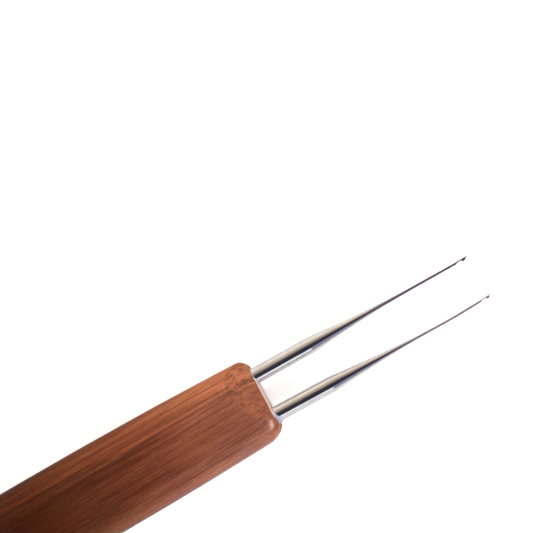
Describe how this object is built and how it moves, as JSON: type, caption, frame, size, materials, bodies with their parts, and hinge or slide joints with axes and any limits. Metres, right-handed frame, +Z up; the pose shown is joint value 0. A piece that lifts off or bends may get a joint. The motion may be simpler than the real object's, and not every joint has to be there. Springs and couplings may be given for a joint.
{
  "type": "crochet hook",
  "caption": "Fine steel crochet hooks set side by side in a flat bamboo handle, for pulling strands of yarn or hair through.",
  "frame": {"origin": "middle of the tool's footprint, on the plane of the handle's back face", "axes": "+X along the tool towards the hook tips, +Y across the handle to the left of the tips, +Z up through the handle's thickness"},
  "size_m": [0.1378, 0.0142, 0.0074],
  "materials": {
    "bamboo": "dark carbonised bamboo under a satin clear lacquer, grain along the tool and end grain showing on the sanded bevels",
    "steel": "polished nickel-plated steel",
    "epoxy": "clear cured epoxy with a slight amber tint"
  },
  "bodies": {
    "root": {"handle": "bamboo", "hook_left": "steel", "hook_right": "steel", "glue_left": "epoxy", "glue_right": "epoxy"}
  },
  "joints": []
}
